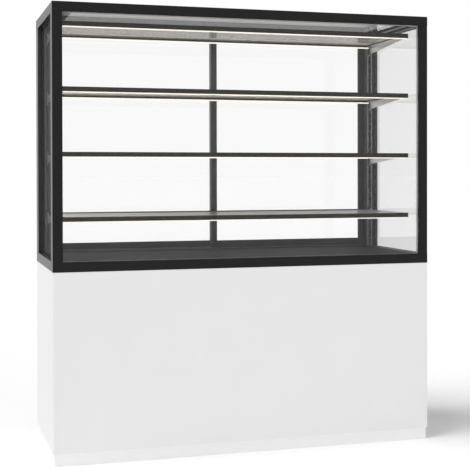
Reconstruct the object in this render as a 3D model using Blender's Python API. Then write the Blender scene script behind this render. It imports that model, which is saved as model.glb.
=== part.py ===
"""A glazed bakery display case on a white panelled base, with sliding rear doors and lit glass shelves.

The origin is on the floor, below the middle of the case. X runs along the front, from left to right,
Y from the front to the back, and Z up. All sizes are in metres.
"""

import math

import bmesh
import bpy
from mathutils import Matrix, Vector

MM = 0.001

# Whole case
WIDTH = 1200 * MM
DEPTH = 500 * MM
HEIGHT = 1375 * MM
BASE_HEIGHT = 575 * MM
SEAT = 0.3 * MM

# Base
BOARD = 18 * MM
REAR_BOARD = 16 * MM
REAR_RECESS = 16 * MM
BOARD_EDGE = 0.8 * MM
PLINTH_HEIGHT = 36 * MM
PLINTH_INSET = 4 * MM

# Frame and panes
PROFILE = 30 * MM
PROFILE_ROUND = 1.0 * MM
POST_FACE = 17.7 * MM
POST_WING = 11.7 * MM
FRONT_WING_REACH = 45 * MM
REAR_WING_REACH = 60 * MM
PANE = 8 * MM
FRONT_PANE_INSET = 18 * MM
SIDE_PANE_INSET = 12 * MM
ROOF_PANE_INSET = 10 * MM
PANE_EDGE = 0.6 * MM
GROOVE_DEPTH = 8 * MM
PANE_HOLD = 6.5 * MM
GROOVE_PLAY = 0.3 * MM

# Deck
DECK_SHEET = 2 * MM
DECK_BEND = 2 * MM

# Shelves
SHELF_COUNT = 4
SHELF_STEP = 197 * MM
TOP_SHELF_HEIGHT = 1326.3 * MM
SHELF_FRONT = 70 * MM
SHELF_BACK = 436 * MM
SHELF_END_GAP = 37.5 * MM
SHELF_FRAME_HEIGHT = 14 * MM
SHELF_REAR_HEIGHT = 9.7 * MM
SHELF_END_HEIGHT = 7 * MM
SHELF_BAR = 14 * MM
SHELF_END_BAR = 14 * MM
SHELF_RIM = 3 * MM
SHELF_GLASS = 5 * MM
LIGHT_WIDTH = 8 * MM
FRONT_LIGHT_HEIGHT = 3 * MM
REAR_LIGHT_HEIGHT = 4 * MM
LIGHT_FRONT = 77 * MM
LIGHT_REAR = 429 * MM
LIGHT_GAP = 40 * MM

# Slotted uprights and brackets
UPRIGHT_WIDTH = 20.2 * MM
UPRIGHT_DEPTH = 29.4 * MM
UPRIGHT_WALL = 2.5 * MM
UPRIGHT_FACE = 440 * MM
UPRIGHT_SIDE_GAP = 30.5 * MM
SLOT_PITCH = SHELF_STEP / 6
SLOT_COUNT = 22
SLOT_WIDTH = 4.6 * MM
SLOT_HEIGHT = 15 * MM
SLOT_BELOW_ARM = 21.8 * MM
BRACKET_SHEET = 3 * MM
BRACKET_ROOT = 26.3 * MM
BRACKET_TIP = 1.5 * MM
BRACKET_TIP_AT = 100 * MM
BRACKET_HEEL_AT = 424 * MM
BRACKET_RISE = 10.5 * MM
BRACKET_LIP = 2 * MM
BRACKET_LIP_BACK = 410 * MM
BRACKET_LIP_EDGE = 50.5 * MM
HOOK_NECK = 6 * MM
HOOK_DROP = 5 * MM
HOOK_THICKNESS = 3 * MM

# Sliding doors
DOOR_THICKNESS = 11 * MM
DOOR_TONGUE = 7 * MM
DOOR_GROOVE = 9 * MM
DOOR_GROOVE_DEPTH = 10 * MM
DOOR_GLASS = 5 * MM
DOOR_GLASS_HOLD = 5.5 * MM
FRONT_TRACK = 477.5 * MM
REAR_TRACK = 491.5 * MM
DOOR_BOTTOM = 608.3 * MM
DOOR_TOP = 1352 * MM
DOOR_SHOULDER = 1343 * MM
DOOR_SIGHT_BOTTOM = 631.3 * MM
DOOR_SIGHT_TOP = 1322 * MM
MEETING_STILE = 21 * MM
CLOSING_STILE = 30.6 * MM
RIGHT_DOOR_SPAN = (591 * MM, 1169.4 * MM)
LEFT_DOOR_SPAN = (30.6 * MM, 613 * MM)
TRACK_PLATE = 2 * MM
TRACK_RIB = 3 * MM
TRACK_RIB_HEIGHT = 5 * MM
DOOR_RIB_GROOVE = 5 * MM
PULL_LENGTH = 140 * MM
PULL_WIDTH = 15 * MM
PULL_DEPTH = 6 * MM
PULL_HEIGHT = 980 * MM

# Light switch, cable gland and power supply, in the base
SWITCH_AT = (1080 * MM, 500 * MM)
SWITCH_FLANGE = (26 * MM, 34 * MM)
SWITCH_BODY = (20 * MM, 28 * MM)
SWITCH_POCKET = (15 * MM, 23 * MM)
ROCKER_TILT = 8
GLAND_AT = (1080 * MM, 110 * MM)
GLAND_BORE = 4.5 * MM
SUPPLY_SIZE = (200 * MM, 60 * MM, 36 * MM)
SUPPLY_AT = (960 * MM, 380 * MM)

# Finishes: colour, roughness, metallic
WHITE_BOARD = ((0.80, 0.80, 0.80), 0.45, 0.0)
BLACK_FRAME = ((0.023, 0.023, 0.023), 0.35, 0.0)
CLEAR_GLASS = ((0.90, 0.93, 0.92), 0.02, 0.0)
DARK_DECK = ((0.045, 0.045, 0.045), 0.40, 0.0)
DARK_ALUMINIUM = ((0.035, 0.034, 0.030), 0.35, 0.6)
ZINC = ((0.62, 0.64, 0.63), 0.35, 0.9)
WARM_LIGHT = ((1.0, 0.93, 0.80), 0.50, 0.0)
BLACK_PLASTIC = ((0.02, 0.02, 0.02), 0.45, 0.0)
BARE_ALUMINIUM = ((0.70, 0.70, 0.70), 0.40, 1.0)

for old in list(bpy.data.objects):
    bpy.data.objects.remove(old)


def at(x, y, z):
    """A point given from the front left corner of the floor, in the case's own frame."""
    return Vector((x - WIDTH / 2, y - DEPTH / 2, z))


def block(size):
    """A plain block about the origin."""
    bm = bmesh.new()
    bmesh.ops.create_cube(bm, size=1)
    bmesh.ops.scale(bm, vec=size, verts=bm.verts)
    return bm


def extrusion(outline, axis, length):
    """A closed outline drawn in the plane across an axis, extruded evenly to both sides of it."""
    place = {
        "X": lambda a, b: (-length / 2, a, b),
        "Y": lambda a, b: (a, -length / 2, b),
        "Z": lambda a, b: (a, b, -length / 2),
    }[axis]
    along = {"X": (length, 0, 0), "Y": (0, length, 0), "Z": (0, 0, length)}[axis]
    bm = bmesh.new()
    face = bm.faces.new([bm.verts.new(place(a, b)) for a, b in outline])
    grown = bmesh.ops.extrude_face_region(bm, geom=[face])
    moved = [v for v in grown["geom"] if isinstance(v, bmesh.types.BMVert)]
    bmesh.ops.translate(bm, vec=along, verts=moved)
    return bm


def turned(profile, steps=24):
    """A closed profile of (radius, distance) points, turned about the Y axis."""
    bm = bmesh.new()
    ring = [bm.verts.new((r, y, 0)) for r, y in profile]
    edges = [bm.edges.new((a, b)) for a, b in zip(ring, ring[1:] + ring[:1])]
    bmesh.ops.spin(bm, geom=edges, cent=(0, 0, 0), axis=(0, 1, 0), angle=math.tau, steps=steps)
    bmesh.ops.remove_doubles(bm, verts=bm.verts, dist=0.01 * MM)
    return bm


def rounded(width, height, radius, steps=2):
    """A rectangle about the origin, with its corners as arcs."""
    points = []
    for quarter, (sx, sy) in enumerate(((1, 1), (-1, 1), (-1, -1), (1, -1))):
        cx = sx * (width / 2 - radius)
        cy = sy * (height / 2 - radius)
        for step in range(steps + 1):
            angle = (quarter + step / steps) * math.pi / 2
            points.append((cx + radius * math.cos(angle), cy + radius * math.sin(angle)))
    return points


def piece(name, bm, centre, finish, parent=None):
    """A named piece with its own material, placed by its centre."""
    bmesh.ops.recalc_face_normals(bm, faces=bm.faces)
    mesh = bpy.data.meshes.new(name)
    bm.to_mesh(mesh)
    bm.free()
    made = bpy.data.objects.new(name, mesh)
    bpy.context.scene.collection.objects.link(made)
    made.location = centre
    if parent is not None:
        made.parent = parent
        made.location = Vector(centre) - parent.location
    colour, roughness, metallic = finish
    material = bpy.data.materials.new(name + "_finish")
    material.use_nodes = True
    shader = material.node_tree.nodes["Principled BSDF"]
    shader.inputs["Base Color"].default_value = (*colour, 1)
    shader.inputs["Roughness"].default_value = roughness
    shader.inputs["Metallic"].default_value = metallic
    mesh.materials.append(material)
    return made


def cut(target, bm, centre=(0, 0, 0)):
    """Takes a shape, placed in the target's own frame, out of a piece."""
    bmesh.ops.recalc_face_normals(bm, faces=bm.faces)
    mesh = bpy.data.meshes.new(target.name + "_cutter")
    bm.to_mesh(mesh)
    bm.free()
    cutter = bpy.data.objects.new(mesh.name, mesh)
    bpy.context.scene.collection.objects.link(cutter)
    cutter.parent = target
    cutter.location = centre
    cutter.hide_render = True
    cutter.display_type = "WIRE"
    difference = target.modifiers.new("cut", "BOOLEAN")
    difference.operation = "DIFFERENCE"
    difference.solver = "EXACT"
    difference.object = cutter


def cut_blocks(target, spans):
    """Takes blocks out of a piece, each given by two corners in the case's frame."""
    world = target.location if target.parent is None else target.location + target.parent.location
    bm = bmesh.new()
    for low, high in spans:
        size = high - low
        middle = (low + high) / 2 - world
        turn = Matrix.Translation(middle) @ Matrix.Diagonal((*size, 1))
        bmesh.ops.create_cube(bm, size=1, matrix=turn)
    cut(target, bm)


def ease_edges(target, width, segments=1):
    """Breaks the sharp edges of a piece."""
    bevel = target.modifiers.new("edges", "BEVEL")
    bevel.width = width
    bevel.segments = segments
    bevel.limit_method = "ANGLE"


def span_block(name, low, high, finish, edge=0, parent=None):
    """A block between two corners in the case's frame."""
    made = piece(name, block(high - low), (low + high) / 2, finish, parent)
    if edge:
        ease_edges(made, edge)
    return made


def profile_bar(name, axis, low, high):
    """A length of the square frame profile between two corners in the case's frame."""
    length = max(high - low)
    outline = rounded(PROFILE, PROFILE, PROFILE_ROUND)
    return piece(name, extrusion(outline, axis, length), (low + high) / 2, BLACK_FRAME)


# Places that several pieces share, from the front left corner of the floor
INNER_LEFT = PROFILE
INNER_RIGHT = WIDTH - PROFILE
INNER_FRONT = PROFILE
INNER_BACK = DEPTH - PROFILE
FRAME_BOTTOM_TOP = BASE_HEIGHT + PROFILE
FRAME_TOP_BOTTOM = HEIGHT - PROFILE
BOARD_BOTTOM = PLINTH_HEIGHT + SEAT
BOARD_TOP = BASE_HEIGHT - SEAT
REAR_FACE = DEPTH - REAR_RECESS


def build_base():
    """Plinth and laminated boards, which stand on each other and meet with butt joints."""
    low = at(PLINTH_INSET, PLINTH_INSET, 0)
    high = at(WIDTH - PLINTH_INSET, DEPTH - PLINTH_INSET, PLINTH_HEIGHT)
    plinth = span_block("plinth", low, high, WHITE_BOARD)
    wall = Vector((BOARD, BOARD, -PLINTH_HEIGHT))
    cut_blocks(plinth, [(low + wall, high - wall)])

    left, right = BOARD + SEAT, WIDTH - BOARD - SEAT
    front, back = BOARD + SEAT, REAR_FACE
    floor_top = BOARD_BOTTOM + BOARD
    ceiling = BOARD_TOP - BOARD
    boards = {
        "base_front_panel": (at(0, 0, BOARD_BOTTOM), at(WIDTH, BOARD, BOARD_TOP)),
        "base_left_panel": (at(0, front, BOARD_BOTTOM), at(BOARD, DEPTH, BOARD_TOP)),
        "base_right_panel": (at(right + SEAT, front, BOARD_BOTTOM), at(WIDTH, DEPTH, BOARD_TOP)),
        "base_bottom_board": (at(left, front, BOARD_BOTTOM), at(right, back, floor_top)),
        "base_top_board": (at(left, front, ceiling), at(right, back, BOARD_TOP)),
    }
    for name, (low, high) in boards.items():
        span_block(name, low, high, WHITE_BOARD, BOARD_EDGE)

    low = at(left, back - REAR_BOARD, floor_top + SEAT)
    high = at(right, back, ceiling - SEAT)
    rear = span_block("base_rear_panel", low, high, WHITE_BOARD, BOARD_EDGE)
    through = REAR_BOARD * 2
    x, z = SWITCH_AT
    place = at(x, back - REAR_BOARD / 2, z) - rear.location
    opening = Vector((SWITCH_BODY[0] + 2 * SEAT, through, SWITCH_BODY[1] + 2 * SEAT))
    cut(rear, block(opening), place)
    x, z = GLAND_AT
    place = at(x, back - REAR_BOARD / 2, z) - rear.location
    hole = extrusion(rounded(20.6 * MM, 20.6 * MM, 10.3 * MM, 6), "Y", through)
    cut(rear, hole, place)


def mirrored(low, high):
    """The same span on the other side of the case's middle."""
    return Vector((-high.x, low.y, low.z)), Vector((-low.x, high.y, high.z))


def wing_post(name, plan, low_z, high_z):
    """An upright length of rebated profile, from its outline in plan view."""
    points = []
    count = len(plan)
    for index in range(count):
        before, corner, after = (Vector(plan[(index + step) % count]) for step in (-1, 0, 1))
        back, ahead = (before - corner).normalized(), (after - corner).normalized()
        if back.cross(ahead) > 0:
            points.append(corner)
            continue
        centre = corner + (back + ahead) * PROFILE_ROUND
        for angle in (0, math.pi / 4, math.pi / 2):
            points.append(centre - (ahead * math.cos(angle) + back * math.sin(angle)) * PROFILE_ROUND)
    middle = sum((Vector(point) for point in plan), Vector((0, 0))) / count
    outline = [tuple(point - middle) for point in points]
    place = at(middle.x, middle.y, (low_z + high_z) / 2)
    return piece(name, extrusion(outline, "Z", high_z - low_z), place, BLACK_FRAME)


def build_frame():
    """Rails of square profile, grooved for the panes and the doors, and four rebated corner posts."""
    front_slot = (FRONT_PANE_INSET - GROOVE_PLAY, FRONT_PANE_INSET + PANE + GROOVE_PLAY)
    side_slot = (SIDE_PANE_INSET - GROOVE_PLAY, SIDE_PANE_INSET + PANE + GROOVE_PLAY)
    roof_slot = (
        HEIGHT - ROOF_PANE_INSET - PANE - GROOVE_PLAY,
        HEIGHT - ROOF_PANE_INSET + GROOVE_PLAY,
    )
    deep = PROFILE - GROOVE_DEPTH
    out = PROFILE + MM

    levels = {
        "bottom": (BASE_HEIGHT, FRAME_BOTTOM_TOP - GROOVE_DEPTH, FRAME_BOTTOM_TOP + MM),
        "top": (FRAME_TOP_BOTTOM, FRAME_TOP_BOTTOM - MM, FRAME_TOP_BOTTOM + GROOVE_DEPTH),
    }
    for level, (z, slot_low, slot_high) in levels.items():
        front = profile_bar(f"front_{level}_rail", "X", at(0, 0, z), at(WIDTH, PROFILE, z + PROFILE))
        rear_low = at(0, INNER_BACK, z)
        rear = profile_bar(f"rear_{level}_rail", "X", rear_low, at(WIDTH, DEPTH, z + PROFILE))
        side_low = at(0, PROFILE + SEAT, z)
        side_high = at(PROFILE, INNER_BACK - SEAT, z + PROFILE)
        left = profile_bar(f"left_{level}_rail", "Y", side_low, side_high)
        right = profile_bar(f"right_{level}_rail", "Y", *mirrored(side_low, side_high))

        pane_slot = (
            at(side_slot[0], front_slot[0], slot_low),
            at(WIDTH - side_slot[0], front_slot[1], slot_high),
        )
        side_end = (at(side_slot[0], front_slot[0], slot_low), at(side_slot[1], out, slot_high))
        side_run = (at(side_slot[0], 0, slot_low), at(side_slot[1], DEPTH, slot_high))
        cut_blocks(front, [pane_slot])
        cut_blocks(front, [side_end, mirrored(*side_end)])
        cut_blocks(left, [side_run])
        cut_blocks(right, [mirrored(*side_run)])
        if level == "bottom":
            continue

        roof_front = (at(deep, deep, roof_slot[0]), at(WIDTH - deep, out, roof_slot[1]))
        roof_side = (at(deep, 0, roof_slot[0]), at(out, DEPTH, roof_slot[1]))
        roof_back = (
            at(deep, INNER_BACK - MM, roof_slot[0]),
            at(WIDTH - deep, INNER_BACK + GROOVE_DEPTH, roof_slot[1]),
        )
        rear_cuts = [roof_back]
        for track in (FRONT_TRACK, REAR_TRACK):
            low = at(INNER_LEFT, track - DOOR_GROOVE / 2, FRAME_TOP_BOTTOM - MM)
            high = at(INNER_RIGHT, track + DOOR_GROOVE / 2, FRAME_TOP_BOTTOM + DOOR_GROOVE_DEPTH)
            rear_cuts.append((low, high))
        cut_blocks(front, [roof_front])
        cut_blocks(left, [roof_side])
        cut_blocks(right, [mirrored(*roof_side)])
        cut_blocks(rear, rear_cuts)

    front_plan = [
        (0, 0),
        (PROFILE, 0),
        (PROFILE, POST_FACE),
        (POST_WING, POST_FACE),
        (POST_WING, FRONT_WING_REACH),
        (0, FRONT_WING_REACH),
    ]
    rear_wing = DEPTH - REAR_WING_REACH
    rear_plan = [
        (0, rear_wing),
        (POST_WING, rear_wing),
        (POST_WING, INNER_BACK),
        (PROFILE, INNER_BACK),
        (PROFILE, DEPTH),
        (0, DEPTH),
    ]
    low_z, high_z = FRAME_BOTTOM_TOP + SEAT, FRAME_TOP_BOTTOM - SEAT
    for depth, plan in (("front", front_plan), ("rear", rear_plan)):
        wing_post(f"{depth}_left_post", plan, low_z, high_z)
        other = [(WIDTH - x, y) for x, y in reversed(plan)]
        wing_post(f"{depth}_right_post", other, low_z, high_z)


def build_panes():
    """Toughened panes. The frame's grooves hold their edges, and the posts' wings back the corners."""
    hold = PROFILE - PANE_HOLD
    low_z, high_z = BASE_HEIGHT + hold, HEIGHT - hold
    front_back = FRONT_PANE_INSET + PANE
    side = (
        at(SIDE_PANE_INSET, front_back + SEAT, low_z),
        at(SIDE_PANE_INSET + PANE, INNER_BACK - 2 * SEAT, high_z),
    )
    panes = {
        "front_glass": (
            at(SIDE_PANE_INSET, FRONT_PANE_INSET, low_z),
            at(WIDTH - SIDE_PANE_INSET, front_back, high_z),
        ),
        "left_glass": side,
        "right_glass": mirrored(*side),
        "roof_glass": (
            at(hold, hold, HEIGHT - ROOF_PANE_INSET - PANE),
            at(WIDTH - hold, DEPTH - hold, HEIGHT - ROOF_PANE_INSET),
        ),
    }
    for name, (low, high) in panes.items():
        span_block(name, low, high, CLEAR_GLASS, PANE_EDGE)


def build_deck():
    """A folded sheet tray with its flanges down, which fills the bottom frame."""
    low = at(INNER_LEFT + SEAT, INNER_FRONT + SEAT, BASE_HEIGHT)
    high = at(INNER_RIGHT - SEAT, INNER_BACK - SEAT, FRAME_BOTTOM_TOP - SEAT)
    tray = span_block("deck_tray", low, high, DARK_DECK, DECK_BEND)
    sheet = Vector((DECK_SHEET, DECK_SHEET, DECK_SHEET))
    below = Vector((0, 0, 10 * MM))
    cut_blocks(tray, [(low + sheet - below, high - sheet)])


def build_uprights():
    """Channels with a column of slots each, which stand in front of the rear posts."""
    half, wall = UPRIGHT_WIDTH / 2, UPRIGHT_WALL
    outline = [
        (-half, 0),
        (half, 0),
        (half, UPRIGHT_DEPTH),
        (half - wall, UPRIGHT_DEPTH),
        (half - wall, wall),
        (wall - half, wall),
        (wall - half, UPRIGHT_DEPTH),
        (-half, UPRIGHT_DEPTH),
    ]
    foot, head = FRAME_BOTTOM_TOP + SEAT, FRAME_TOP_BOTTOM - SEAT
    top_slot = TOP_SHELF_HEIGHT - SHELF_END_HEIGHT - SLOT_BELOW_ARM + SLOT_PITCH
    reach = Vector((SLOT_WIDTH / 2, wall + MM, SLOT_HEIGHT / 2))
    for name, x in (("left_upright", UPRIGHT_SIDE_GAP), ("right_upright", WIDTH - UPRIGHT_SIDE_GAP)):
        centre = at(x, UPRIGHT_FACE, (foot + head) / 2)
        upright = piece(name, extrusion(outline, "Z", head - foot), centre, BLACK_FRAME)
        middles = [at(x, UPRIGHT_FACE, top_slot - step * SLOT_PITCH) for step in range(SLOT_COUNT)]
        cut_blocks(upright, [(middle - reach, middle + reach) for middle in middles])


def shelf_levels():
    """Heights of the shelves' tops, from the top one down."""
    return [TOP_SHELF_HEIGHT - step * SHELF_STEP for step in range(SHELF_COUNT)]


def build_shelves():
    """Glass plates in slim dark frames, with a light strip below the front and the rear bar."""
    left, right = SHELF_END_GAP, WIDTH - SHELF_END_GAP
    length = WIDTH - 2 * LIGHT_GAP
    for number, top in enumerate(shelf_levels(), 1):
        under = top - SHELF_FRAME_HEIGHT
        low, high = at(left, SHELF_FRONT, under), at(right, SHELF_BACK, top)
        frame = span_block(f"shelf_{number}_frame", low, high, DARK_ALUMINIUM)
        ledge = SHELF_FRAME_HEIGHT - SHELF_GLASS - SEAT
        rim = Vector((SHELF_RIM, SHELF_RIM, ledge))
        bar = Vector((SHELF_END_BAR, SHELF_BAR, -MM))
        cut_blocks(frame, [(low + bar, high - bar)])
        cut_blocks(frame, [(low + rim, high + Vector((-SHELF_RIM, -SHELF_RIM, MM)))])

        behind, back = SHELF_FRONT + SHELF_BAR, SHELF_BACK + MM
        end_under, rear_under = top - SHELF_END_HEIGHT, top - SHELF_REAR_HEIGHT
        end = (at(left - MM, behind, under - MM), at(left + SHELF_END_BAR, back, end_under))
        cut_blocks(frame, [end, mirrored(*end)])
        rear_low = at(left + SHELF_END_BAR, SHELF_BACK - SHELF_BAR - MM, under - MM)
        cut_blocks(frame, [(rear_low, at(right - SHELF_END_BAR, back, rear_under))])

        play = Vector((SEAT, SEAT, SEAT))
        plate_high = high - Vector((SHELF_RIM + SEAT, SHELF_RIM + SEAT, 0))
        span_block(f"shelf_{number}_glass", low + rim + play, plate_high, CLEAR_GLASS, PANE_EDGE)

        front_light = ("front", LIGHT_FRONT, under, FRONT_LIGHT_HEIGHT)
        rear_light = ("rear", LIGHT_REAR, rear_under, REAR_LIGHT_HEIGHT)
        for side, y, ceiling, height in (front_light, rear_light):
            strip = rounded(LIGHT_WIDTH, height, 1.2 * MM)
            centre = at(WIDTH / 2, y, ceiling - SEAT - height / 2)
            piece(f"shelf_{number}_{side}_light", extrusion(strip, "X", length), centre, WARM_LIGHT)


def bracket_outline():
    """Side view of a bracket: a tapered arm, a heel beside the shelf's end and two hooks behind it."""
    tip = BRACKET_TIP_AT - UPRIGHT_FACE
    heel = BRACKET_HEEL_AT - UPRIGHT_FACE
    root = -SEAT
    behind = UPRIGHT_WALL + SEAT
    end = behind + HOOK_THICKNESS
    slot_floor = -SLOT_BELOW_ARM - SLOT_HEIGHT / 2 + SEAT
    outline = [(tip, 0), (tip, -BRACKET_TIP), (root, -BRACKET_ROOT)]
    for hook in (0, 1):
        floor = slot_floor + SEAT + hook * SLOT_PITCH
        outline += [
            (root, floor),
            (behind, floor),
            (behind, floor - HOOK_DROP),
            (end, floor - HOOK_DROP),
            (end, floor + HOOK_NECK),
            (root, floor + HOOK_NECK),
        ]
    return outline + [(root, BRACKET_RISE), (heel, BRACKET_RISE), (heel, 0)]


def build_brackets():
    """Sheet brackets hooked into an upright, each with a lip below the shelf's end bar."""
    outline = bracket_outline()
    outer = UPRIGHT_SIDE_GAP - BRACKET_SHEET / 2
    inner = outer + BRACKET_SHEET
    width = BRACKET_LIP_EDGE - outer
    front, back = BRACKET_TIP_AT - MM, DEPTH
    reach = 60 * MM
    for number, top in enumerate(shelf_levels(), 1):
        height = top - SHELF_END_HEIGHT - SEAT
        edge = BRACKET_LIP_EDGE + MM
        spared = [
            (at(inner, front, height - reach), at(edge, back, height - BRACKET_LIP)),
            (at(inner, front, height), at(edge, back, height + reach)),
            (at(inner, BRACKET_LIP_BACK, height - reach), at(edge, back, height + reach)),
        ]
        x = outer + width / 2
        for side, place in (("left", x), ("right", WIDTH - x)):
            name = f"shelf_{number}_{side}_bracket"
            bracket = piece(name, extrusion(outline, "X", width), at(place, UPRIGHT_FACE, height), ZINC)
            for span in spared:
                cut_blocks(bracket, [span if side == "left" else mirrored(*span)])


def build_door(side, span, track, meeting, closing):
    """A framed glass door, with a finger pull sunk into the back of its closing stile."""
    middle = sum(span) / 2
    runner = bpy.data.objects.new(f"{side}_door_slide", None)
    runner.location = at(middle, track, DOOR_BOTTOM)
    bpy.context.scene.collection.objects.link(runner)

    half, tongue, rib = DOOR_THICKNESS / 2, DOOR_TONGUE / 2, DOOR_RIB_GROOVE / 2
    shoulder, height = DOOR_SHOULDER - DOOR_BOTTOM, DOOR_TOP - DOOR_BOTTOM
    run = TRACK_RIB_HEIGHT + MM
    outline = [
        (-half, 0),
        (-rib, 0),
        (-rib, run),
        (rib, run),
        (rib, 0),
        (half, 0),
        (half, shoulder),
        (tongue, shoulder),
        (tongue, height),
        (-tongue, height),
        (-tongue, shoulder),
        (-half, shoulder),
    ]
    width = span[1] - span[0]
    frame_bm = extrusion(outline, "X", width)
    frame = piece(f"{side}_door_frame", frame_bm, runner.location, BLACK_FRAME, runner)

    left, right = span[0] + meeting, span[1] - closing
    low = at(left, track, DOOR_SIGHT_BOTTOM)
    high = at(right, track, DOOR_SIGHT_TOP)
    through = Vector((0, DOOR_THICKNESS, 0))
    cut_blocks(frame, [(low - through, high + through)])
    hold = Vector((DOOR_GLASS_HOLD, DOOR_GLASS / 2, DOOR_GLASS_HOLD))
    play = Vector((SEAT, SEAT, SEAT))
    cut_blocks(frame, [(low - hold - play, high + hold + play)])
    span_block(f"{side}_door_glass", low - hold, high + hold, CLEAR_GLASS, PANE_EDGE, runner)

    stile = (span[1] - closing / 2) if closing > meeting else (span[0] + meeting / 2)
    pull = rounded(PULL_WIDTH, PULL_LENGTH, PULL_WIDTH / 2, 4)
    place = at(stile, track + half, PULL_HEIGHT) - runner.location
    cut(frame, extrusion(pull, "Y", 2 * PULL_DEPTH), place)


def build_doors():
    """Two doors on a ribbed track. The right one runs in front of the left one."""
    low = at(INNER_LEFT + SEAT, INNER_BACK + MM, FRAME_BOTTOM_TOP + SEAT)
    width = DEPTH - INNER_BACK - 2 * MM
    middle = low.y + width / 2
    outline = [(-width / 2, 0), (width / 2, 0), (width / 2, TRACK_PLATE)]
    for track in (REAR_TRACK, FRONT_TRACK):
        rib = track - DEPTH / 2 - middle
        top = TRACK_PLATE + TRACK_RIB_HEIGHT - MM
        outline += [
            (rib + TRACK_RIB / 2, TRACK_PLATE),
            (rib + TRACK_RIB / 2, top),
            (rib - TRACK_RIB / 2, top),
            (rib - TRACK_RIB / 2, TRACK_PLATE),
        ]
    outline.append((-width / 2, TRACK_PLATE))
    length = INNER_RIGHT - INNER_LEFT - 2 * SEAT
    piece("door_track", extrusion(outline, "X", length), (0, middle, low.z), BARE_ALUMINIUM)
    build_door("right", RIGHT_DOOR_SPAN, FRONT_TRACK, MEETING_STILE, CLOSING_STILE)
    build_door("left", LEFT_DOOR_SPAN, REAR_TRACK, CLOSING_STILE, MEETING_STILE)


def build_switch():
    """A rocker switch for the lights, snapped into the rear panel."""
    x, z = SWITCH_AT
    flange = 2 * MM
    body_depth = REAR_BOARD + 4 * MM
    pocket_depth = 13 * MM
    face = REAR_FACE + SEAT
    width, height = SWITCH_FLANGE
    outline = [
        (face + flange, -height / 2),
        (face + flange, height / 2),
        (face, height / 2),
        (face, SWITCH_BODY[1] / 2),
        (face - body_depth, SWITCH_BODY[1] / 2),
        (face - body_depth, -SWITCH_BODY[1] / 2),
        (face, -SWITCH_BODY[1] / 2),
        (face, -height / 2),
    ]
    outline = [(y - face, b) for y, b in outline]
    housing = piece("light_switch_housing", extrusion(outline, "X", width), at(x, face, z), BLACK_PLASTIC)
    side = (width - SWITCH_BODY[0]) / 2
    trim = Vector((side, body_depth, SWITCH_BODY[1])) * 2
    for way in (-1, 1):
        offset = Vector((way * width / 2, -trim.y / 2, 0))
        cut(housing, block(trim), offset)
    pocket = Vector((SWITCH_POCKET[0], 2 * pocket_depth, SWITCH_POCKET[1]))
    cut(housing, block(pocket), (0, flange, 0))

    reach, crown, dish, heel = 10 * MM, 7.5 * MM, 6 * MM, 3 * MM
    rocker = [(crown, -reach), (dish, 0), (crown, reach), (0, reach * 0.7), (-heel, 0), (0, -reach * 0.7)]
    made = extrusion(rocker, "X", SWITCH_POCKET[0] - MM)
    pivot = at(x, face - 3 * MM, z)
    tilt = Matrix.Rotation(math.radians(-ROCKER_TILT), 4, "X")
    bmesh.ops.transform(made, matrix=tilt, verts=made.verts)
    piece("light_switch_rocker", made, pivot, BLACK_PLASTIC)


def build_supply():
    """Gland for the mains lead in the rear panel, and the lights' power supply on the base's floor."""
    x, z = GLAND_AT
    neck, flange, dome = 10 * MM, 13 * MM, 10.5 * MM
    inside = REAR_BOARD + 5 * MM
    profile = [
        (GLAND_BORE, -inside),
        (neck, -inside),
        (neck, SEAT),
        (flange, SEAT),
        (flange, 4 * MM),
        (dome, 5 * MM),
        (dome, 9 * MM),
        (dome * 0.8, 13 * MM),
        (GLAND_BORE, 14 * MM),
    ]
    gland = piece("cable_gland", turned(profile), at(x, REAR_FACE, z), BLACK_PLASTIC)
    gland.data.shade_smooth()
    gland.data.set_sharp_from_angle(angle=math.radians(35))

    length, depth, height = SUPPLY_SIZE
    ear, sheet = 14 * MM, 3 * MM
    x, y = SUPPLY_AT
    outline = [
        (-length / 2 - ear, 0),
        (length / 2 + ear, 0),
        (length / 2 + ear, sheet),
        (length / 2, sheet),
        (length / 2, height),
        (-length / 2, height),
        (-length / 2, sheet),
        (-length / 2 - ear, sheet),
    ]
    floor = BOARD_BOTTOM + BOARD + SEAT
    supply = piece("light_power_supply", extrusion(outline, "Y", depth), at(x, y, floor), BARE_ALUMINIUM)
    for way in (-1, 1):
        hole = extrusion(rounded(5 * MM, 10 * MM, 2.4 * MM), "Z", 4 * sheet)
        cut(supply, hole, (way * (length / 2 + ear / 2), 0, sheet / 2))


build_base()
build_frame()
build_panes()
build_deck()
build_uprights()
build_shelves()
build_brackets()
build_doors()
build_switch()
build_supply()
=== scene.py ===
"""A glazed bakery display case: finishes, seals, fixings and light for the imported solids."""

import math

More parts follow.
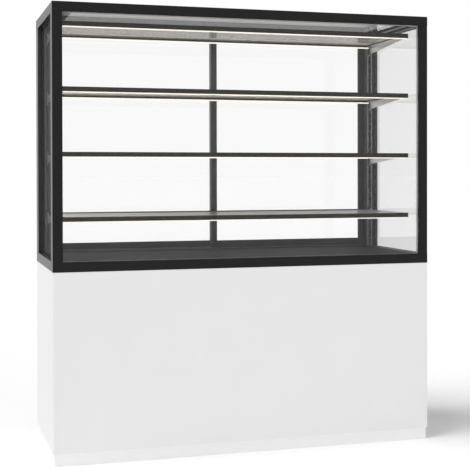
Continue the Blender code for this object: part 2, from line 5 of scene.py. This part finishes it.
import bmesh
import bpy
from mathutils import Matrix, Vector


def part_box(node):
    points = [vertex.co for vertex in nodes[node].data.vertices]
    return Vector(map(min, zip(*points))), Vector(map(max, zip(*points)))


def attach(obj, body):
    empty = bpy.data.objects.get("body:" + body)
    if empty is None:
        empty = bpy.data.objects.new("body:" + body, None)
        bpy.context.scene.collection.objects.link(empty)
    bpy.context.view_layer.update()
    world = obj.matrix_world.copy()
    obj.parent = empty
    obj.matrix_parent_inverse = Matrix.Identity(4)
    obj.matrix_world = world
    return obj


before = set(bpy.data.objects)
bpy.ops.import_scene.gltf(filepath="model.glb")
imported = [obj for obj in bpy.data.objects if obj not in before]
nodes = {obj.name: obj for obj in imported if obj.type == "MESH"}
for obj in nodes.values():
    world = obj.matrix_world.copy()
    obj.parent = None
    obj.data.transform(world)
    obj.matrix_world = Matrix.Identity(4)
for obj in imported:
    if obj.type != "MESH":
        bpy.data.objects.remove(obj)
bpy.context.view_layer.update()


# Base: plinth and boards.
# Chipboard faced with white melamine, butt-jointed, with thin edge tape. The press leaves a fine
# pearl grain in the melamine. The plinth ring gets a brighter copy of the board finish, which is
# painted light that offsets the shade of its recess.
class Wire:
    """A socket of a finish. Sums of wires become Math nodes in that finish's tree."""

    def __init__(self, tree, socket=None):
        self.tree = tree
        self.socket = socket

    def node(self, kind, settings=None, sockets=None, output=0):
        """A node of a type: its settings first, then the values or wires of its sockets."""
        made = self.tree.nodes.new("ShaderNode" + kind)
        for name, value in (settings or {}).items():
            setattr(made, name, value)
        for name, value in (sockets or {}).items():
            if isinstance(value, Wire):
                self.tree.links.new(value.socket, made.inputs[name])
            else:
                made.inputs[name].default_value = value
        return Wire(self.tree, made.outputs[output] if made.outputs else None)

    def sum(self, operation, first, second):
        return self.node("Math", {"operation": operation}, {0: first, 1: second})

    def __add__(self, other):
        return self.sum("ADD", self, other)

    __radd__ = __add__

    def __sub__(self, other):
        return self.sum("SUBTRACT", self, other)

    def __rsub__(self, other):
        return self.sum("SUBTRACT", other, self)

    def __mul__(self, other):
        return self.sum("MULTIPLY", self, other)

    __rmul__ = __mul__

    def __pow__(self, other):
        return self.sum("POWER", self, other)

    def __gt__(self, other):
        return self.sum("GREATER_THAN", self, other)

    def __lt__(self, other):
        return self.sum("LESS_THAN", self, other)

    def __abs__(self):
        return self.node("Math", {"operation": "ABSOLUTE"}, {0: self})

    def sine(self):
        return self.node("Math", {"operation": "SINE"}, {0: self})

    def clamped(self):
        return self.node("Clamp", None, {"Value": self})

    def along(self, axis):
        """One axis of a wire that carries a vector."""
        return self.node("SeparateXYZ", None, {0: self}, axis)

    def tint(self, first, second):
        """Runs from the first colour to the second as this wire goes from 0 to 1."""
        return self.node("Mix", {"data_type": "RGBA"}, {0: self, 6: first, 7: second}, 2)

    def cover(self, below, above):
        """Covers one shader with another as this wire goes from 0 to 1."""
        return self.node("MixShader", None, {0: self, 1: below, 2: above})


def rgb(red, green, blue):
    return (red, green, blue, 1)


def grey(value):
    return rgb(value, value, value)


def new_finish(name):
    """An empty finish, as a wire that its nodes hang on, and the place of a point on the piece."""
    finish = bpy.data.materials.new(name)
    finish.use_nodes = True
    finish.node_tree.nodes.clear()
    start = Wire(finish.node_tree)
    place = start.node("TexCoord", None, None, "Object")
    return finish, start, place


def noise(place, scale, detail=2.0, stretch=(1, 1, 1)):
    """Even noise from 0 to 1, with its grain drawn out along an axis by a smaller stretch there."""
    if stretch != (1, 1, 1):
        place = place.node("Mapping", None, {"Vector": place, "Scale": stretch})
    return place.node("TexNoise", None, {"Vector": place, "Scale": scale, "Detail": detail})


def surface(start, sockets, height=None, depth=0.0):
    """Closes a finish with one Principled shader, over a bump of the given depth in metres."""
    if height is not None:
        bump = start.node("Bump", None, {"Height": height, "Distance": depth, "Strength": 1.0})
        sockets = {**sockets, "Normal": bump}
    shader = start.node("BsdfPrincipled", None, sockets)
    start.node("OutputMaterial", None, {"Surface": shader})


def dress(finish, *names):
    """Gives a finish to CAD pieces."""
    for name in names:
        nodes[name].material_slots[0].material = finish


def melamine(name, dark, light):
    """A white board face between two greys."""
    finish, start, place = new_finish(name)
    cloud = noise(place, 9, 3)
    pearl = noise(place, 520, 2)
    surface(
        start,
        {
            "Base Color": (0.7 * cloud + 0.3 * pearl).tint(grey(dark), grey(light)),
            "Roughness": 0.42 + 0.14 * pearl,
            "Specular IOR Level": 0.2,
        },
        pearl,
        0.00002,
    )
    return finish


white_board = melamine("white_board", dark=0.84, light=0.88)
# A brighter copy of the board finish: painted light that offsets the shade in the plinth's recess.
painted_light_board = melamine("painted_light_board", dark=0.94, light=0.97)
dress(white_board, "base_front_panel", "base_left_panel", "base_right_panel")
dress(white_board, "base_rear_panel", "base_bottom_board", "base_top_board")
dress(painted_light_board, "plinth")


# Frame: posts and rails.
# Square profile with a satin black powder coat, which dries to a fine orange peel. The members are
# cut square, grooved for the panes and screwed together from inside. The rear posts, like the doors
# between them, get a greyer copy of the coat, which is painted light for the light they catch behind the
# panes.
def powder_coat(name, dark, light):
    """A sprayed black coat between two greys, with dust on what faces up."""
    finish, start, place = new_finish(name)
    cloud = noise(place, 14, 3)
    peel = noise(place, 700, 1.5)
    up = start.node("NewGeometry", None, None, "Normal").along("Z")
    dust = (up * noise(place, 60, 4) * 0.35).clamped()
    coat = cloud.tint(grey(dark), grey(light))
    surface(
        start,
        {
            "Base Color": (dust * 0.12).tint(coat, rgb(0.20, 0.20, 0.19)),
            "Roughness": 0.28 + 0.10 * peel + 0.15 * dust,
            "Specular IOR Level": 0.25,
        },
        peel,
        0.00003,
    )
    return finish


black_frame = powder_coat("black_frame", dark=0.002, light=0.003)
# A greyer copy of the black coat: painted light for the members seen behind the panes.
painted_light_black = powder_coat("painted_light_black", dark=0.030, light=0.044)
dress(black_frame, "front_left_post", "front_right_post")
dress(painted_light_black, "rear_left_post", "rear_right_post")
for level in ("bottom", "top"):
    dress(black_frame, *(f"{side}_{level}_rail" for side in ("front", "rear", "left", "right")))


# Deck: a folded steel tray that fills the bottom frame.
# Textured powder coat in dark grey. The texture is coarse enough to show as a mottle.
dark_deck, start, place = new_finish("dark_deck")
mottle = 0.5 * noise(place, 130, 3) + 0.5 * noise(place, 45, 3, (2, 0.3, 1))
grit = noise(place, 900, 2)
surface(
    start,
    {
        "Base Color": (mottle * 3 - 1).clamped().tint(grey(0.001), grey(0.032)),
        "Roughness": 0.55 + 0.2 * grit,
        "Specular IOR Level": 0.04,
    },
    0.5 * mottle + 0.5 * grit,
    0.00015,
)
dress(dark_deck, "deck_tray")


# Panes: front, sides and roof.
# Clear toughened float glass, 8 mm, held by its edges in the frame's grooves. Its mirror shine grows
# towards a grazing look. The outer faces of the side panes are dulled against glare, and the roof
# pane has a dark border printed all round.
def clear_glass(name, shine, rise, haze=0.69, dull_sides=False, border_from=None):
    """A pane that is seen straight through and mirrors from the side that is looked at.

    The mirror starts from the shine and gains the rise at a grazing look, where a haze shows as well.
    A border begins at the given distances from the middle, along X and Y.
    """
    finish, start, place = new_finish(name)
    behind = start.node("NewGeometry", None, None, "Backfacing")
    graze = start.node("LayerWeight", None, {"Blend": 0.5}, "Facing")
    film = 0.94 + 0.12 * noise(place, 7, 3)
    mirror = (shine + rise * graze**2.6) * film * (1 - behind)
    if dull_sides:
        outward = start.node("NewGeometry", None, None, "Normal")
        away = start.node("VectorMath", {"operation": "DOT_PRODUCT"}, {0: outward, 1: place}, "Value")
        mirror = mirror * (1 - 0.95 * (away > 0))
    loss = (haze * graze**4.2).clamped()
    veil = film.tint(grey(0.055), grey(0.07))
    if border_from:
        aside = abs(place.along("X")) > border_from[0]
        deep = abs(place.along("Y")) > border_from[1]
        printed = (aside + deep).clamped()
        loss = (loss + printed).clamped()
        veil = printed.tint(veil, grey(0.02))
    clear = start.node("BsdfTransparent", None, {"Color": rgb(0.985, 0.986, 0.985)})
    dust = start.node("BsdfDiffuse", None, {"Color": veil})
    gloss = start.node("BsdfGlossy", None, {"Color": grey(1), "Roughness": 0.0})
    start.node("OutputMaterial", None, {"Surface": mirror.cover(loss.cover(clear, dust), gloss)})
    return finish


pane_glass = clear_glass("pane_glass", shine=0.036, rise=0.66)
side_glass = clear_glass("side_glass", shine=0.03, rise=0.457, dull_sides=True)
border = (0.529, 0.179)
roof_pane_glass = clear_glass("roof_pane_glass", shine=0.036, rise=0.84, haze=0.48, border_from=border)
dress(pane_glass, "front_glass")
dress(roof_pane_glass, "roof_glass")
dress(side_glass, "left_glass", "right_glass")


# Pane seals: a bead all round each pane, where it enters the frame.
# Pale grey silicone below the roof pane, a thin glazing bead before the front pane, grey with a black
# lower run, and a black rubber lip outside each side pane. The bead's grey is lightened as a painted
# reflection of the lit interior. Each is one mitred ring.
def piece(name, bm, finish, body):
    """A new piece from a mesh, with its finish and the body that carries it."""
    bmesh.ops.recalc_face_normals(bm, faces=bm.faces)
    mesh = bpy.data.meshes.new(name)
    bm.to_mesh(mesh)
    bm.free()
    made = bpy.data.objects.new(name, mesh)
    bpy.context.scene.collection.objects.link(made)
    mesh.materials.append(finish)
    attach(made, body)
    return made


def skin_between(bm, here, there):
    """Closes the strip between two loops of points."""
    for step in range(len(here)):
        ahead = (step + 1) % len(here)
        bm.faces.new((here[step], there[step], there[ahead], here[ahead]))


def ring(name, finish, body, centre, across, up, half, profile):
    """A mitred ring: a profile of (inward, outward-normal) points swept round a rectangle's edge."""
    across, up = Vector(across), Vector(up)
    normal = across.cross(up)
    bm = bmesh.new()
    rows = []
    for sx, sy in ((-1, -1), (1, -1), (1, 1), (-1, 1)):
        row = []
        for inward, lift in profile:
            corner = across * (sx * (half[0] - inward)) + up * (sy * (half[1] - inward))
            row.append(bm.verts.new(Vector(centre) + corner + normal * lift))
        rows.append(row)
    for side in range(4):
        skin_between(bm, rows[side], rows[(side + 1) % 4])
    return piece(name, bm, finish, body)


def strip(name, outline, run, finish, body):
    """A straight strip: an outline of points that is drawn out along a run."""
    bm = bmesh.new()
    ends = [[bm.verts.new(Vector(point) + Vector(run) * end) for point in outline] for end in (0, 1)]
    bm.faces.new(ends[0])
    bm.faces.new(ends[1][::-1])
    skin_between(bm, *ends)
    return piece(name, bm, finish, body)


def bead(width, height, steps=4):
    """A quarter-round bead's profile, with its two flat sides on the pane and the frame."""
    turns = [math.pi / 2 * step / steps for step in range(steps + 1)]
    arc = [(width * math.sin(turn), height * math.cos(turn)) for turn in turns]
    root = -0.0002
    return [(root, 0.0), (root, height)] + arc[1:]


def seal_finish(name, dark, light, rough, grain, depth, shine=0.5, black_below=False):
    """A moulded seal between two colours, with a black lower run if asked for."""
    finish, start, place = new_finish(name)
    skin = noise(place, grain, 3)
    colour = skin.tint(dark, light)
    if black_below:
        lower_run = start.node("NewGeometry", None, None, "Normal").along("Z") > 0.3
        colour = lower_run.tint(colour, grey(0.02))
    look = {"Base Color": colour, "Roughness": rough[0] + rough[1] * skin, "Specular IOR Level": shine}
    surface(start, look, skin, depth)
    return finish


grey_seal = seal_finish("grey_seal", grey(0.42), rgb(0.52, 0.52, 0.51), (0.35, 0.15), 240, 0.0001)
# The bead's grey is lightened: painted reflection of the lit interior.
bead_grey_painted_reflection = seal_finish("bead_grey_painted_reflection", grey(0.34), grey(0.42), (0.4, 0.15), 240, 0.00005, black_below=True)
black_rubber = seal_finish("black_rubber", grey(0.008), grey(0.016), (0.55, 0.2), 400, 0.00005, shine=0.3)

hairline = 0.0001
half_width, half_height, half_depth = 0.57, 0.37, 0.22
glazed_middle = 0.975
low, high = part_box("roof_glass")
place = Vector((0, 0, low.z - hairline))
size = (half_width, half_depth)
ring("roof_seal", grey_seal, "case", place, (1, 0, 0), (0, -1, 0), size, bead(0.003, 0.003))
low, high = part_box("front_glass")
place = Vector((0, low.y - hairline, glazed_middle))
size = (half_width, half_height)
ring("front_bead", bead_grey_painted_reflection, "case", place, (1, 0, 0), (0, 0, 1), size, bead(0.0009, 0.009))
lip = bead(0.0010, 0.0014)
size = (0.1975, half_height)
for side, way in (("left", -1), ("right", 1)):
    low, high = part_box(f"{side}_glass")
    face = (low.x if way < 0 else high.x) + way * hairline
    place = Vector((face, -0.0075, glazed_middle))
    ring(f"{side}_seal", black_rubber, "case", place, (0, way, 0), (0, 0, 1), size, lip)


# Slotted uprights, at the rear corners.
# Rolled steel channel with a column of slots for the shelf brackets. The grey coat covers the flanges.
# Pale stripes along the roll lines are painted highlights, and the dark along the slots and inside the
# channel is painted shade.
upright_grey, start, place = new_finish("upright_grey")
low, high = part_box("right_upright")
spot = start.node("NewGeometry", None, None, "Position")
off = abs(abs(spot.along("X")) - (low.x + high.x) / 2)
inside = spot.along("Y") > low.y + 0.0012
# Painted shade: darker along the slots and inside the channel, where shade falls.
painted_shade = ((off < 0.0034) + inside * (off < 0.0075)).clamped()
# Painted highlights: pale stripes along the roll lines, where ribs would catch the light.
painted_highlight_line = (off > 0.0062) * (off < 0.0088)
peel = noise(place, 700, 1.5)
coat = noise(place, 14, 3).tint(grey(0.08), grey(0.12))
surface(
    start,
    {
        "Base Color": painted_shade.tint(painted_highlight_line.tint(coat, grey(0.24)), grey(0.02)),
        "Roughness": 0.3 + 0.1 * peel + 0.2 * painted_shade,
        "Specular IOR Level": 0.3,
    },
    peel,
    0.00003,
)
dress(upright_grey, "left_upright", "right_upright")


# Shelf brackets: two blades each, hooked into the uprights.
# Folded steel sheet with a bright zinc plating, whose grain shows as soft streaks along the arm.
zinc, start, place = new_finish("zinc")
streak = noise(place, 60, 3, (2, 0.15, 2))
flake = start.node("TexVoronoi", None, {"Vector": place, "Scale": 160}, "Color").along("X")
surface(
    start,
    {
        "Base Color": (0.6 * streak + 0.4 * flake).tint(rgb(0.55, 0.53, 0.505), rgb(0.71, 0.695, 0.67)),
        "Metallic": 0.85,
        "Roughness": 0.30 + 0.2 * streak,
    },
    streak,
    0.00003,
)
for number in range(1, 5):
    dress(zinc, f"shelf_{number}_left_bracket", f"shelf_{number}_right_bracket")


# Shelves: glass plates in slim frames.
# Extruded aluminium, anodised in a dark bronze that is drawn along its length, with 6 mm satin glass
# laid in flush. The satin's warm beige and the warm tint of its gloss are painted warm light of the
# shelf lights. The end bars rest on the brackets, and a low stop runs along the rear bar.
dark_bronze, start, place = new_finish("dark_bronze")
drawn = noise(place, 90, 3, (0.04, 2, 2))
surface(
    start,
    {
        "Base Color": drawn.tint(rgb(0.009, 0.0078, 0.0055), rgb(0.015, 0.013, 0.0095)),
        "Metallic": 0.2,
        "Roughness": 0.42 + 0.16 * drawn,
        "Specular IOR Level": 0.15,
    },
    drawn,
    0.000005,
)
satin_glass, start, place = new_finish("satin_glass")
graze = start.node("LayerWeight", None, {"Blend": 0.5}, "Facing")
film = noise(place, 7, 3)
upper = start.node("NewGeometry", None, None, "Normal").along("Z") > 0.5
clear = start.node("BsdfTransparent", None, {"Color": rgb(0.98, 0.983, 0.978)})
deep = start.node("BsdfDiffuse", None, {"Color": rgb(0.06, 0.055, 0.04)})
# Painted warm light: the satin's beige tint, and the gloss's warm tint below, stand in for the shelf
# lights' cast.
satin = start.node("BsdfDiffuse", None, {"Color": film.tint(rgb(0.60, 0.57, 0.53), rgb(0.64, 0.61, 0.57))})
gloss = start.node("BsdfGlossy", None, {"Color": rgb(1, 0.985, 0.95), "Roughness": 0.02})
body_of_glass = (0.9 * graze**12).clamped().cover(clear, deep)
milky = (0.03 + (0.52 + 0.3 * upper) * graze**3).clamped().cover(body_of_glass, satin)
start.node("OutputMaterial", None, {"Surface": (0.02 + 0.24 * graze**2).clamped().cover(milky, gloss)})
back = [(-0.0030, 0.0001), (-0.0030, 0.0016), (-0.0022, 0.0024), (0.0, 0.0024), (0.0, 0.0001)]
for number in range(1, 5):
    dress(dark_bronze, f"shelf_{number}_frame")
    dress(satin_glass, f"shelf_{number}_glass")
    low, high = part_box(f"shelf_{number}_frame")
    outline = [(low.x, high.y + y, high.z + z) for y, z in back]
    run = (high.x - low.x, 0, 0)
    strip(f"shelf_{number}_rear_stop", outline, run, dark_bronze, "case")


# Shelf lights: strips below the front and the rear bar of each shelf.
# Warm white diodes behind a milky diffuser, which shows them as a row of faint hot spots.
warm_light, start, place = new_finish("warm_light")
diode_pitch = 0.0083
spot = 0.5 + 0.5 * (place.along("X") * (math.tau / diode_pitch)).sine()
milk = noise(place, 300, 2)
surface(
    start,
    {
        "Base Color": milk.tint(rgb(0.80, 0.78, 0.72), rgb(0.86, 0.84, 0.78)),
        "Roughness": 0.5,
        "Emission Color": spot.tint(rgb(1.0, 0.90, 0.74), rgb(1.0, 0.95, 0.84)),
        "Emission Strength": 0.75,
    },
)
for number in range(1, 5):
    dress(warm_light, f"shelf_{number}_front_light", f"shelf_{number}_rear_light")


# Sliding doors and their track.
# Slim black frames round 5 mm glass with a rubber seal. Each runs on a rib of the bare aluminium track
# and in a groove of the top rail, the right one in front, with a brush that closes the gap between them.
bare_aluminium, start, place = new_finish("bare_aluminium")
drawn = noise(place, 120, 3, (0.03, 2, 2))
surface(
    start,
    {
        "Base Color": drawn.tint(grey(0.10), grey(0.16)),
        "Metallic": 0.8,
        "Roughness": 0.35 + 0.2 * drawn,
    },
    drawn,
    0.00002,
)
dress(bare_aluminium, "door_track", "light_power_supply")
door_glass = clear_glass("door_glass", shine=0.03, rise=0.457)
door_middle, door_half_height = 0.97665, 0.34535
for side, middle, half in (("left", -0.2734, 0.2654), ("right", 0.2754, 0.2634)):
    # The door frames take the greyer copy of the coat, which is painted light.
    dress(painted_light_black, f"{side}_door_frame")
    dress(door_glass, f"{side}_door_glass")
    low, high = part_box(f"{side}_door_glass")
    place = Vector((middle, high.y + hairline, door_middle))
    size = (half, door_half_height)
    carrier = f"{side}_door"
    ring(f"{side}_door_seal", black_rubber, carrier, place, (-1, 0, 0), (0, 0, 1), size, lip)
brush_pile, start, place = new_finish("brush_pile")
pile = noise(place, 500, 2, (1, 1, 0.1))
surface(start, {"Base Color": pile.tint(grey(0.01), grey(0.05)), "Roughness": 0.9}, pile, 0.0004)
low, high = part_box("right_door_frame")
tuft = [(0.004, 0.0001), (0.004, 0.0010), (0.0062, 0.0024)]
tuft += [(0.0078, 0.0024), (0.010, 0.0010), (0.010, 0.0001)]
outline = [(low.x + x, high.y + y, 0.66) for x, y in tuft]
strip("door_brush", outline, (0, 0, 0.64), brush_pile, "right_door")


# Light switch and cable gland, in the rear panel of the base.
# Moulded black plastic with a spark-eroded grain.
black_plastic, start, place = new_finish("black_plastic")
grain = noise(place, 900, 3)
look = {"Base Color": grain.tint(grey(0.012), grey(0.024)), "Roughness": 0.42 + 0.2 * grain}
surface(start, look, grain, 0.00005)
dress(black_plastic, "light_switch_housing", "light_switch_rocker", "cable_gland")


# Screws of the rear panel.
# Zinc-plated pan heads with a sunk drive, which hold the panel to the base's boards all round.
bm = bmesh.new()
low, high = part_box("base_rear_panel")
head = [(0.0, 0.0045), (0.0007, 0.0045), (0.0013, 0.0037), (0.0016, 0.0021), (0.0006, 0.0018)]
spots = [(x, z) for x in (-0.565, 0.0, 0.565) for z in (0.075, 0.305, 0.535) if (x, z) != (0.0, 0.305)]
turns = [math.tau * step / 12 for step in range(12)]
for x, z in spots:
    rows = []
    for lift, reach in head:
        row = [(x + reach * math.cos(a), high.y + hairline + lift, z + reach * math.sin(a)) for a in turns]
        rows.append([bm.verts.new(point) for point in row])
    bm.faces.new(rows[0])
    bm.faces.new(rows[-1][::-1])
    for here, there in zip(rows, rows[1:]):
        skin_between(bm, here, there)
piece("rear_panel_screws", bm, zinc, "case")


# Floor, light and camera.
# A pale floor that runs out into a white studio, which is brightest in front. A soft light stands high
# on the left and a weak one on the right. The camera is a little below the second lowest shelf.
floor_finish, start, place = new_finish("pale_floor")
mark = noise(place, 3, 2)
matt = start.node("BsdfDiffuse", None, {"Color": mark.tint(grey(0.875), grey(0.885))})
start.node("OutputMaterial", None, {"Surface": matt})
bm = bmesh.new()
bmesh.ops.create_grid(bm, x_segments=1, y_segments=1, size=200)
floor_mesh = bpy.data.meshes.new("floor")
bm.to_mesh(floor_mesh)
bm.free()
floor_mesh.materials.append(floor_finish)
floor = bpy.data.objects.new("floor", floor_mesh)
bpy.context.scene.collection.objects.link(floor)

studio = bpy.data.worlds.new("studio")
studio.use_nodes = True
studio.node_tree.nodes.clear()
sky = Wire(studio.node_tree)
looked_at = sky.node("LightPath", None, None, "Is Camera Ray")
mirrored = sky.node("LightPath", None, None, "Is Glossy Ray")
passed = sky.node("LightPath", None, None, "Is Transmission Ray")
direct = (looked_at + mirrored + passed).clamped()
front = (0 - sky.node("TexCoord", None, None, "Generated").along("Y")).clamped()
soft = 0.12 + 0.78 * front
backdrop = sky.node("Background", None, {"Color": grey(1), "Strength": direct + (1 - direct) * soft})
sky.node("OutputWorld", None, {"Surface": backdrop})
bpy.context.scene.world = studio


def soft_sun(name, towards, angle):
    """A distant soft light. Its strength is the length of the vector that points to it."""
    lamp = bpy.data.lights.new(name, "SUN")
    lamp.angle = math.radians(angle)
    lamp.energy = Vector(towards).length * math.pi
    lamp_object = bpy.data.objects.new(name, lamp)
    lamp_object.rotation_euler = Vector(towards).to_track_quat("Z", "Y").to_euler()
    bpy.context.scene.collection.objects.link(lamp_object)


soft_sun("left_light", (-0.34, -0.03, 0.69), 38)
soft_sun("right_light", (0.08, 0.01, 0.17), 40)

camera = bpy.data.cameras.new("camera")
camera.sensor_width = 36
camera.lens = 90.256
camera.shift_x = -0.1588
camera.shift_y = -0.1069
tilt, roll, turn = -0.01114, 0.00117, -0.31839
camera_object = bpy.data.objects.new("camera", camera)
camera_object.location = (-0.9660, -3.7767, 0.8718)
camera_object.rotation_euler = (math.pi / 2 + tilt, roll, turn)
bpy.context.scene.collection.objects.link(camera_object)
bpy.context.scene.camera = camera_object
bpy.context.scene.view_settings.view_transform = "Standard"
